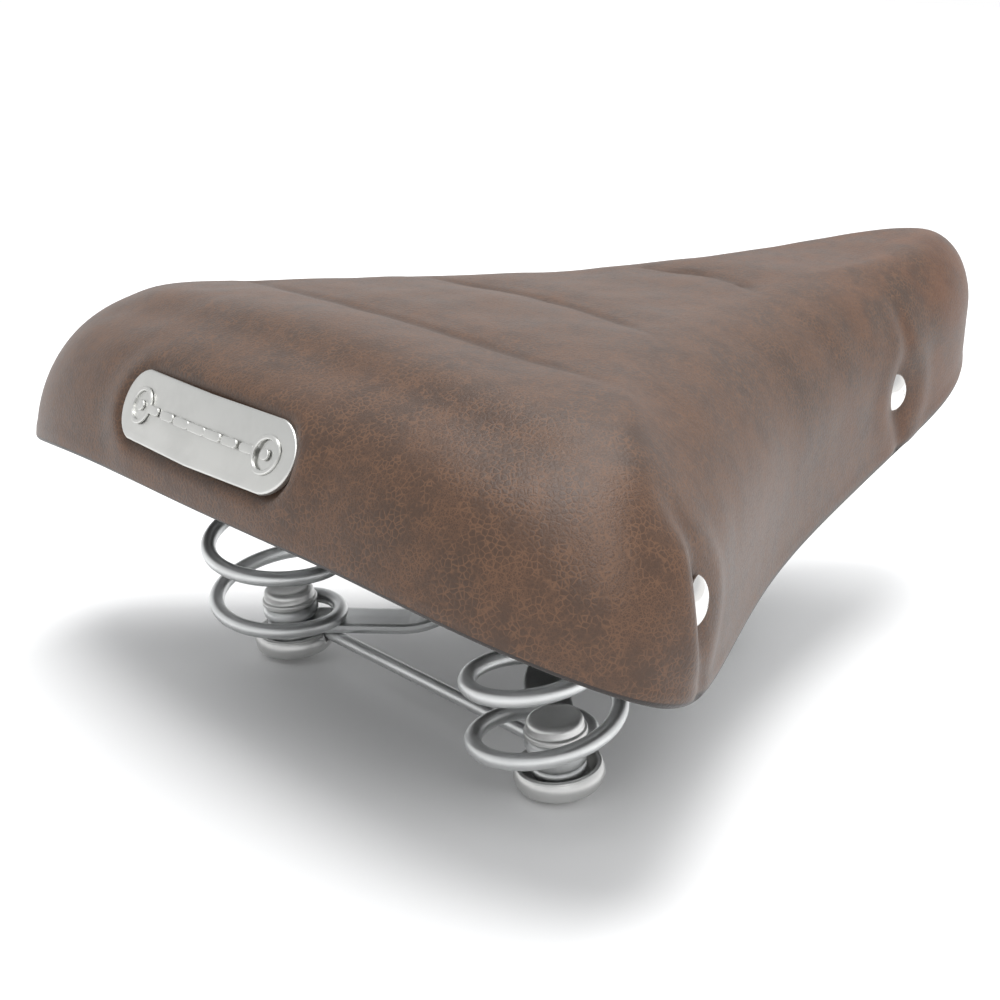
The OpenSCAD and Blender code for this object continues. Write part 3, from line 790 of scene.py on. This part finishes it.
@dataclass(frozen=True)
class RearPlate:
    """Satin plate with round ends, let into the padded rear of the cover."""

    width: float = 66.5
    height: float = 16.6
    thickness: float = 1.3
    lean: float = 24.0
    at: tuple = (1.9, 0.0, 81.0)
    bow: float = 1.9
    ring: tuple = ((3.3, 0.0), (3.35, 0.35), (3.55, 0.5), (4.1, 0.5), (4.3, 0.35), (4.35, 0.0), (3.3, 0.0))

    def axes(self) -> tuple[np.ndarray, np.ndarray]:
        """Return the plate's way up and its way out, in the level frame."""
        lean = math.radians(self.lean)
        up = np.array([math.sin(lean), 0.0, math.cos(lean)])
        out = np.array([-math.cos(lean), 0.0, math.sin(lean)])
        return up, out

    def distance(self, points: np.ndarray) -> np.ndarray:
        """Return how far points lie outside the plate's edge, in its plane."""
        up, _ = self.axes()
        rel = points - np.array(self.at)
        radius = self.height / 2
        along = np.maximum(np.abs(rel[..., 1]) - (self.width / 2 - radius), 0.0)
        return np.hypot(along, rel @ up) - radius

    def _bar(self, bm: bmesh.types.BMesh, length: float, width: float, low: float, high: float,
             at: tuple[float, float], corner: float) -> None:
        """Add a raised bar with round ends and soft edges."""
        made = bmesh.ops.create_circle(bm, segments=40, radius=width / 2, cap_ends=True)
        verts = made["verts"]
        for vert in verts:
            vert.co.x += math.copysign((length - width) / 2, vert.co.x) if abs(vert.co.x) > 1e-6 else 0.0
        face = verts[0].link_faces[0]
        top = bmesh.ops.extrude_face_region(bm, geom=[face])["geom"]
        lifted = [g for g in top if isinstance(g, bmesh.types.BMVert)]
        everything = verts + lifted
        bmesh.ops.translate(bm, vec=(0, 0, high - low), verts=lifted)
        bmesh.ops.translate(bm, vec=(at[0], at[1], low), verts=everything)
        rim = [e for e in {e for v in lifted for e in v.link_edges}
               if e.verts[0] in set(lifted) and e.verts[1] in set(lifted)]
        bmesh.ops.bevel(bm, geom=rim, offset=corner, segments=4, profile=0.5, affect="EDGES",
                        material=-1)

    def build(self, wardrobe: Wardrobe) -> None:
        """Make the plate with its raised ornament."""
        bm = bmesh.new()
        self._bar(bm, self.width, self.height, 0.0, self.thickness, (0, 0), 0.55)
        top = self.thickness - 0.15
        for index in range(-3, 4):
            half = 2.6 - 0.35 * abs(index)
            self._bar(bm, 2 * half + 1.6, 2.0, top, top + 0.5, (index * 6.2, 0.0), 0.2)
        for side in (-1, 1):
            self._bar(bm, 2.6, 2.5, top, top + 0.55, (side * 24.6, 0.0), 0.25)
            ring = turned("ring", self.ring, [Matrix.Translation((side * 24.6, 0.0, top))], 48)
            bm.from_mesh(ring.data)
            bpy.data.objects.remove(ring)
        bmesh.ops.recalc_face_normals(bm, faces=bm.faces)
        up, out = self.axes()
        for vert in bm.verts:
            bow = self.bow * (2 * vert.co.x / self.width) ** 2
            point = (np.array(self.at) + np.array([0.0, -vert.co.x, 0.0]) + up * vert.co.y
                     + out * vert.co.z + np.array([bow, 0.0, 0.0]))
            vert.co = FRAMES.row(point)
        bmesh.ops.recalc_face_normals(bm, faces=bm.faces)
        piece = finish_bmesh("rear_badge", bm, 35.0)
        wardrobe.dress(piece, Slot.PLATE)
        place_piece(piece, Body.SEAT, "rear_plate", "plate_pins")


@dataclass(frozen=True)
class Groove:
    """Pressed line across the top of the seat."""

    x: float
    half: float
    bend: float


@dataclass(frozen=True)
class SeatCover:
    """Padded cover with pressed lines, dimples and a cut hem."""

    shape: SeatShape
    plate: RearPlate
    rivets: Rivets
    thickness: float = 2.4
    columns: int = 480
    grooves: tuple = (Groove(52.0, 78.0, 9.0), Groove(100.0, 46.0, -7.0), Groove(160.0, 24.0, -9.0))

    def relief(self, points: np.ndarray, at: np.ndarray) -> tuple[np.ndarray, np.ndarray]:
        """Work out how far the surface stands proud and where it is creased.

        Args:
            points: rings by columns by 3, in the level frame.
            at: each column's place on the outline.

        Returns:
            The height above the plain surface in millimetres, and the share of
            painted shade in the creases, both rings by columns.
        """
        x, y, z = points[..., 0], points[..., 1], points[..., 2]
        o = self.shape.outline(at)
        inset = np.einsum("kij,ij->ki", points[..., :2] - o[None, :, :2], self.shape.inward(at))
        top = smoothstep(4.0, 16.0, inset)
        height = np.zeros(x.shape)
        crease = np.zeros(x.shape)
        for groove in self.grooves:
            line = groove.x + groove.bend * (y / groove.half) ** 2
            window = (1 - smoothstep(0.45, 1.12, np.abs(y) / groove.half)) * top
            height -= window * (0.6 * bell(x - line, 1.9) + 0.9 * bell(x - line, 8.0))
            # Painted shade: a dark line along the bottom of each pressed line
            crease = np.maximum(crease, window * bell(x - line, 1.4) * 0.7)
        # Valley between the top and the rolled rear edge, and the roll itself
        rear = (1 - smoothstep(70.0, 98.0, np.abs(y))) * (1 - smoothstep(34.0, 52.0, x))
        height -= 1.5 * rear * bell(inset - 21.0, 6.5)
        height += 0.9 * rear * bell(inset - 8.0, 6.0)
        # Dimple of the plate, with the padding swelling round it
        edge = self.plate.distance(points)
        near = (x < 34.0).astype(float)
        height -= near * 0.9 * (1 - smoothstep(-1.2, 0.9, edge))
        height += near * 1.15 * smoothstep(-0.6, 1.6, edge) * bell(np.maximum(edge - 2.0, 0.0), 6.0)
        # Painted shade: a dark line in the gap round the plate's edge
        crease = np.maximum(crease, near * bell(edge - 0.3, 0.7) * 0.8)
        # Pulls at the rivets
        for point, out in self.rivets.spots():
            rel = points - point
            side = rel @ np.array([-out[1], out[0], 0.0])
            reach = np.linalg.norm(rel, axis=-1)
            facing = bell(rel @ out, 14.0)
            height -= facing * 1.9 * bell(reach, 7.5)
            height += facing * 0.7 * bell(reach - 13.0, 5.0)
            fold = bell(side, 3.6) * (1 - smoothstep(14.0, 30.0, np.abs(rel[..., 2])))
            height -= facing * 1.0 * fold
            # The rear rivets sit behind a fold of the padding
            if point[0] < self.shape.length / 2:
                height += facing * 2.0 * bell(rel[..., 0] + 7.5, 4.0) * bell(rel[..., 2], 13.0)
            # Painted shade: a dark ring in the dimple round each rivet head
            crease = np.maximum(crease, facing * bell(reach - 5.8, 0.8) * 0.5)
        # Slack of the padding, and the bead along the hem
        wave = np.array([
            noise.noise(Vector(p) / 27.0) + 0.5 * noise.noise(Vector(p) / 12.0)
            for p in points.reshape(-1, 3)
        ]).reshape(x.shape)
        height += wave * 0.42 * smoothstep(6.0, 30.0, z - o[None, :, 3])
        height += 0.3 * bell(z - o[None, :, 3] - 1.6, 1.4)
        return height, crease

    def outside(self, at: np.ndarray) -> tuple[list[np.ndarray], list[np.ndarray]]:
        """Return the outer rings and the share of painted crease shade on each."""
        plain = self.shape.rings(at, 0.0, 100, 34)
        plain += [plain[-1] * (1 - s) + self.shape.hem(at, 0.0, 0.0) * s for s in np.linspace(0, 1, 15)[1:]]
        points = np.array(plain)
        along = np.roll(points, -1, axis=1) - np.roll(points, 1, axis=1)
        down = np.gradient(points, axis=0)
        normal = np.cross(along, down)
        normal /= np.linalg.norm(normal, axis=-1, keepdims=True) + 1e-12
        normal[:2] = (0.0, 0.0, 1.0)
        if normal[40, 0, 2] < 0:
            normal[2:] = -normal[2:]
        height, crease = self.relief(points, at)
        return list(points + normal * height[..., None]), list(crease)

    def build(self, wardrobe: Wardrobe) -> None:
        """Make the cover as one closed shell."""
        at = self.shape.even_places(self.columns)
        outer, crease = self.outside(at)
        radius = self.thickness / 2
        curl = []
        for angle in np.linspace(0, math.pi, 8)[1:-1]:
            curl.append(self.shape.hem(at, radius - radius * math.cos(angle), -radius * math.sin(angle)))
        inner = [self.shape.hem(at, self.thickness, lift) for lift in (0.0, 4.0, 10.0)]
        back = self.shape.rings(at, self.thickness, 8, 8)[::-1]
        inner = [np.column_stack([r[:, :2], np.minimum(r[:, 2], back[0][:, 2])]) for r in inner]
        rings = outer + curl + inner + back
        piece = loft("seat_cover", [FRAMES.row(r) for r in rings], 50.0)
        self._paint(piece, crease, len(outer), len(curl))
        wardrobe.dress(piece, Slot.COVER)
        place_piece(piece, Body.SEAT, "cover")

    def _paint(self, piece: bpy.types.Object, crease: list[np.ndarray], outer: int, curl: int) -> None:
        """Write the painted crease shade and the cut-edge shares onto the cover's points."""
        mesh = piece.data
        count = len(mesh.vertices)
        ring = np.zeros(count, int)
        mesh.attributes["ring"].data.foreach_get("value", ring)
        mesh.attributes.remove(mesh.attributes["ring"])
        cut = ((ring >= outer - 1) & (ring < outer + curl + 2)).astype(np.float32)
        dark = np.zeros(count, np.float32)
        order = np.arange(count)
        for level in range(1, outer):
            members = order[ring == level]
            if len(members) == len(crease[level]):
                dark[members] = crease[level]
        for name, values in (("crease", dark), ("cut_edge", cut)):
            mesh.attributes.new(name, "FLOAT", "POINT").data.foreach_set("value", values)


@dataclass(frozen=True)
class SeatPadding:
    """Foam between the cover and the pan."""

    shape: SeatShape
    columns: int = 160
    gap: float = 0.5
    cover_t: float = 2.4

    def build(self, wardrobe: Wardrobe) -> None:
        """Make the foam as one closed block with a crowned top."""
        shape = self.shape
        at = shape.even_places(self.columns)
        rings = shape.rings(at, self.cover_t + self.gap, 14, 14)
        top = shape.pan_z + shape.pan_t + 0.3
        o, n = shape.outline(at), shape.inward(at)
        made = []
        for ring in rings:
            floor = top + ring[:, 0] * shape.pan_slope + 0.8
            made.append(np.column_stack([ring[:, :2], np.maximum(ring[:, 2], floor)]))
        keep = [made[0]]
        for ring, plain in zip(made[1:], rings[1:]):
            low = plain[:, 2] < top + plain[:, 0] * shape.pan_slope + 0.8
            ring[low, :2] = keep[-1][low, :2] + (ring[low, :2] - keep[-1][low, :2]) * 0.02
            keep.append(ring)
        under = keep[-1][:, :2] + n * 1.5
        base = np.column_stack([under, top + under[:, 0] * shape.pan_slope])
        middle = np.array(shape.middle)
        spread = [
            np.column_stack([middle + (under - middle) * s,
                             top + (middle + (under - middle) * s)[:, 0] * shape.pan_slope])
            for s in (0.6, 0.25, 0.01)
        ]
        piece = loft("seat_foam", [FRAMES.row(r) for r in keep + [base] + spread], 60.0)
        piece.data.attributes.remove(piece.data.attributes["ring"])
        wardrobe.dress(piece, Slot.FOAM)
        place_piece(piece, Body.SEAT, "padding")


# -------------------------------------------------------------------- chassis


@dataclass(frozen=True)
class CoilSpring:
    """Spring wound from round wire, with an eye at each end."""

    side: int
    spring_y: float = 52.3
    wire_r: float = 2.0
    coil_r: float = 16.75
    coil_back: float = 2.5
    eye_r: float = 5.3
    turns: float = 2.5
    low_z: float = 12.7
    high_z: float = 57.9
    rise_start: float = 142.0
    rise_power: float = 1.12
    eye_turn: float = 240.0

    def path(self) -> np.ndarray:
        """Return the wire's middle line in the chassis frame."""
        whole = 360.0 + 360.0 * self.turns
        angle = np.arange(-self.eye_turn, whole + self.eye_turn + 1, 5.0)
        share = smoothstep(0.0, 180.0, np.minimum(angle, whole - angle))
        radius = self.eye_r + (self.coil_r - self.eye_r) * share
        run = np.clip((angle - self.rise_start) / (whole - 90.0 - self.rise_start), 0.0, 1.0)
        rise = run ** self.rise_power
        soft = np.convolve(np.pad(rise, 4, mode="edge"), np.ones(9) / 9.0, mode="valid")
        turn = np.radians(90.0 - angle)
        return np.column_stack([
            radius * np.cos(turn) - self.coil_back * share,
            self.side * (self.spring_y + radius * np.sin(turn)),
            self.low_z + (self.high_z - self.low_z) * soft,
        ])

    def build(self, wardrobe: Wardrobe) -> None:
        """Make the spring in its rest shape; it is parented to no body."""
        name = "left" if self.side > 0 else "right"
        piece = wire(f"coil_spring_{name}", FRAMES.chassis_to_row(self.path()), self.wire_r * MM)
        wardrobe.dress(piece, Slot.SPRING)
        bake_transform(piece)
        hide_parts(f"spring_{name}")
        log.info("%s: %d faces between chassis and seat", piece.name, len(piece.data.polygons))


@dataclass(frozen=True)
class Feet:
    """Bolt, dished nut and cross wire at the foot of each spring."""

    spring_y: float = 52.3
    head_z: float = 14.75
    cross_z: float = 6.3
    cross_r: float = 1.7
    cross_eye_r: float = 5.0
    boss_h: float = 4.6

    def _places(self, z: float) -> list[Matrix]:
        """Return the placements of a pair of pieces at a height."""
        return [FRAMES.chassis_matrix((0.0, side * self.spring_y, z)) for side in (1, -1)]

    def build(self, wardrobe: Wardrobe) -> None:
        """Make the bolts, the nuts and the wire."""
        self._bolts(wardrobe)
        self._nuts(wardrobe)
        self._cross_wire(wardrobe)

    def _bolts(self, wardrobe: Wardrobe) -> None:
        """Make the flanged bolts with flat tops and rolled edges."""
        rolled = [(5.1 + 1.5 * math.cos(a), 2.8 + 1.5 * math.sin(a)) for a in np.linspace(1.5, 0.0, 7)]
        profile = [(0, 3.98), (3.2, 4.0), (4.2, 4.2), *rolled, (6.6, 1.75), (6.7, 1.6), (7.0, 1.5),
                   (7.25, 1.25), (7.3, 0.9), (7.3, 0.4), (7.0, 0.05), (3.0, 0.0), (3.0, -12.9), (0, -12.9)]
        piece = turned("foot_bolt_pair", profile, self._places(self.head_z))
        wardrobe.dress(piece, Slot.CHROME_FASTENER)
        place_piece(piece, Body.CHASSIS, "foot_bolts")

    def _nuts(self, wardrobe: Wardrobe) -> None:
        """Make the dished nuts, each with a notch where the cross wire comes out."""
        bottom = [(r, 15 - math.sqrt(225 - r * r)) for r in (0, 1.5, 3, 4.5, 6, 7.2, 8.1)]
        side = [(7.6 + 2.9 * math.cos(a), 4.6 + 3.2 * math.sin(a)) for a in np.linspace(-0.85, 0.7, 11)]
        rim = [(9.4 + 0.7 * math.cos(a), 6.7 + 0.7 * math.sin(a)) for a in np.linspace(0.35, 2.8, 8)]
        dish = [(8.35, 5.6), (8.15, 4.6), (7.9, 3.9), (7.6, 3.3), (7.0, 2.85), (5.9, 2.65), (5.25, 2.8),
                (5.05, 3.2), (5.0, self.boss_h - 0.2), (4.8, self.boss_h - 0.05), (0, self.boss_h - 0.05)]
        piece = turned("dished_nut_pair", bottom + side + rim + dish, self._places(0.0))
        width = 2 * self.cross_r + 0.6
        cutters = []
        for side_sign in (1, -1):
            bm = bmesh.new()
            bmesh.ops.create_cube(bm, size=1.0)
            bmesh.ops.scale(bm, vec=(width, 8.0, 4.0), verts=bm.verts)
            notch = (self.cross_eye_r, -8.0 * side_sign, self.boss_h + 1.8)
            bmesh.ops.translate(bm, vec=notch, verts=bm.verts)
            place = FRAMES.chassis_matrix((0.0, side_sign * self.spring_y, 0.0))
            bmesh.ops.transform(bm, matrix=place, verts=bm.verts)
            cutters.append(finish_bmesh("cutter", bm))
        carve(piece, cutters)
        wardrobe.dress(piece, Slot.CHROME_FASTENER)
        place_piece(piece, Body.CHASSIS, "cap_nuts")

    def _cross_wire(self, wardrobe: Wardrobe) -> None:
        """Make the wire that joins the feet, with a closed eye at each end."""
        turn = np.radians(np.arange(0, 331, 6.0))
        eye = np.column_stack([
            self.cross_eye_r * np.cos(turn),
            self.spring_y + self.cross_eye_r * np.sin(turn),
            np.full(turn.shape, self.cross_z),
        ])[::-1]
        span = [(self.cross_eye_r, y, self.cross_z) for y in np.linspace(40, -40, 9)]
        path = np.vstack([eye, span, eye[::-1] * [1, -1, 1]])
        piece = wire("cross_wire_rod", FRAMES.chassis_to_row(path), self.cross_r * MM)
        wardrobe.dress(piece, Slot.SPRING)
        place_piece(piece, Body.CHASSIS, "cross_wire")


# ---------------------------------------------------------------------- stage


@dataclass(frozen=True)
class Studio:
    """Floor, lights and camera."""

    azimuth: float = math.radians(48.72)
    elevation: float = math.radians(16.70)
    roll: float = math.radians(-2.42)
    distance: float = 457.7
    target: tuple = (83.97, -4.36, 53.15)
    lens: float = 67.45
    sensor: float = 36.0
    floor_half: float = 6.0
    floor_drop: float = 0.0002
    sun_spread: float = math.radians(30.0)
    sun_energy: float = 1.5
    sun_turn: tuple = (math.radians(6.0), math.radians(-8.0), 0.0)
    lit_point: tuple = (-0.06, 0.0, 0.05)
    panels: tuple = (
        ("overhead_panel", (0.30, 0.10, 1.10), 0.8, 6.0),
        ("key_panel", (-0.55, -0.95, 0.95), 0.45, 5.0),
    )

    def build(self) -> None:
        """Make the whole stage."""
        self._floor()
        self._world()
        self._lights()
        self._camera()

    def _floor(self) -> None:
        """Make a pale floor that is far larger than the view."""
        bm = bmesh.new()
        bmesh.ops.create_grid(bm, x_segments=1, y_segments=1, size=self.floor_half)
        bmesh.ops.translate(bm, vec=(0, 0, CAD_BOX[0][2] - self.floor_drop), verts=bm.verts)
        floor = finish_bmesh("studio_floor", bm)
        material, build = new_material("pale_floor")
        shader = build.add("BsdfPrincipled", {"Base Color": (0.88, 0.88, 0.88, 1), "Roughness": 0.7})
        build.add("OutputMaterial", {"Surface": shader.outputs[0]})
        floor.data.materials.append(material)

    @staticmethod
    def _world() -> None:
        """Light the surroundings, white at the horizon and darker overhead."""
        world = bpy.data.worlds.new("studio_world")
        world.use_nodes = True
        build = NodeBuilder(world.node_tree)
        way = build.add("TexCoord").outputs["Generated"]
        height = build.add("SeparateXYZ", {0: way}).outputs["Z"]
        sky = build.mix(build.ramp(height, 0.06, 0.55), (1.0, 1.0, 1.0, 1), (0.72, 0.73, 0.74, 1))
        back = build.add("Background", {"Color": sky, "Strength": 1.0})
        build.add("OutputWorld", {"Surface": back.outputs[0]})
        bpy.context.scene.world = world
        bpy.context.scene.view_settings.view_transform = "Standard"

    def _lights(self) -> None:
        """Hang a soft sun overhead, and one panel above and one beside the saddle."""
        sun = bpy.data.lights.new("soft_sun", "SUN")
        sun.angle = self.sun_spread
        sun.energy = self.sun_energy
        shine = bpy.data.objects.new("soft_sun", sun)
        shine.rotation_euler = self.sun_turn
        bpy.context.scene.collection.objects.link(shine)
        aim = Vector(self.lit_point)
        for name, place, size, power in self.panels:
            light = bpy.data.lights.new(name, "AREA")
            light.shape = "SQUARE"
            light.size = size
            light.energy = power
            lamp = bpy.data.objects.new(name, light)
            lamp.location = place
            lamp.rotation_mode = "QUATERNION"
            lamp.rotation_quaternion = (aim - Vector(place)).to_track_quat("-Z", "Y")
            bpy.context.scene.collection.objects.link(lamp)

    def _camera(self) -> None:
        """Set up the camera at the chosen side of the saddle."""
        ce, se = math.cos(self.elevation), math.sin(self.elevation)
        ahead = Vector((math.cos(self.azimuth) * ce, math.sin(self.azimuth) * ce, -se))
        right = Vector((math.sin(self.azimuth), -math.cos(self.azimuth), 0.0))
        down = ahead.cross(right)
        across = right * math.cos(self.roll) + down * math.sin(self.roll)
        lower = down * math.cos(self.roll) - right * math.sin(self.roll)
        target = Vector(FRAMES.row(self.target))
        place = target - ahead * self.distance * MM
        axes = Matrix((across, -lower, -ahead)).transposed()
        data = bpy.data.cameras.new("camera")
        data.lens = self.lens
        data.sensor_width = self.sensor
        data.clip_start = 0.02
        data.clip_end = 50.0
        camera = bpy.data.objects.new("camera", data)
        camera.matrix_world = Matrix.Translation(place) @ axes.to_4x4()
        bpy.context.scene.collection.objects.link(camera)
        bpy.context.scene.camera = camera


def main() -> None:
    """Build every sub-assembly in order."""
    logging.basicConfig(level=logging.INFO, format="%(name)s: %(message)s")
    wardrobe = Wardrobe()
    wardrobe.dress_cad_nodes()
    shape = SeatShape()
    rivets = Rivets(shape)
    plate = RearPlate()
    SeatCover(shape, plate, rivets).build(wardrobe)
    SeatPadding(shape).build(wardrobe)
    plate.build(wardrobe)
    rivets.build(wardrobe)
    for side in (1, -1):
        CoilSpring(side).build(wardrobe)
    Feet().build(wardrobe)
    Studio().build()


if __name__ == "__main__":
    main()
